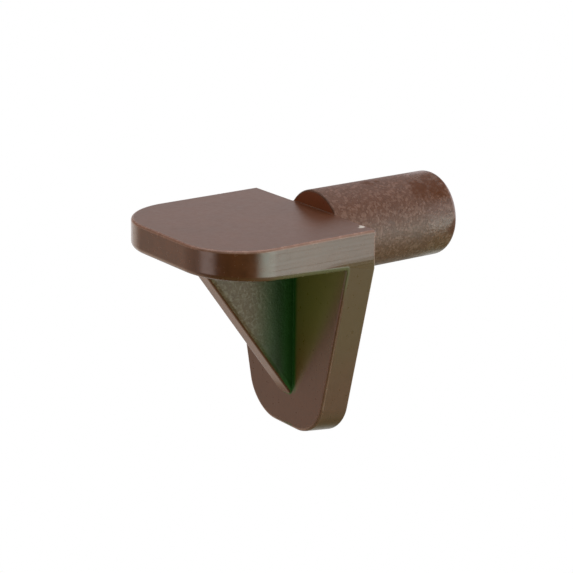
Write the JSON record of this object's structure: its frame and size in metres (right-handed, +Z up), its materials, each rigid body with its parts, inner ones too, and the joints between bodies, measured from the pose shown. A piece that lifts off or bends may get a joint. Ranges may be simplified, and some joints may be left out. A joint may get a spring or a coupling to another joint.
{
  "type": "shelf support pin",
  "caption": "Moulded plastic shelf support: flat seat with rounded front corners, tapering back plate, central web and a round pin that pushes into a cabinet side.",
  "frame": {"origin": "on the pin's axis, in the plane of the shoulder that stops against the cabinet side", "axes": "+X along the pin into the cabinet side, +Y across the seat, +Z up out of the seat's top"},
  "size_m": [0.019, 0.0114, 0.0139],
  "materials": {
    "brown_plastic": "satin gloss as moulded, finely spark-textured on the web and the pin"
  },
  "bodies": {
    "root": {"shelf_support_pin": "brown_plastic"}
  },
  "joints": []
}
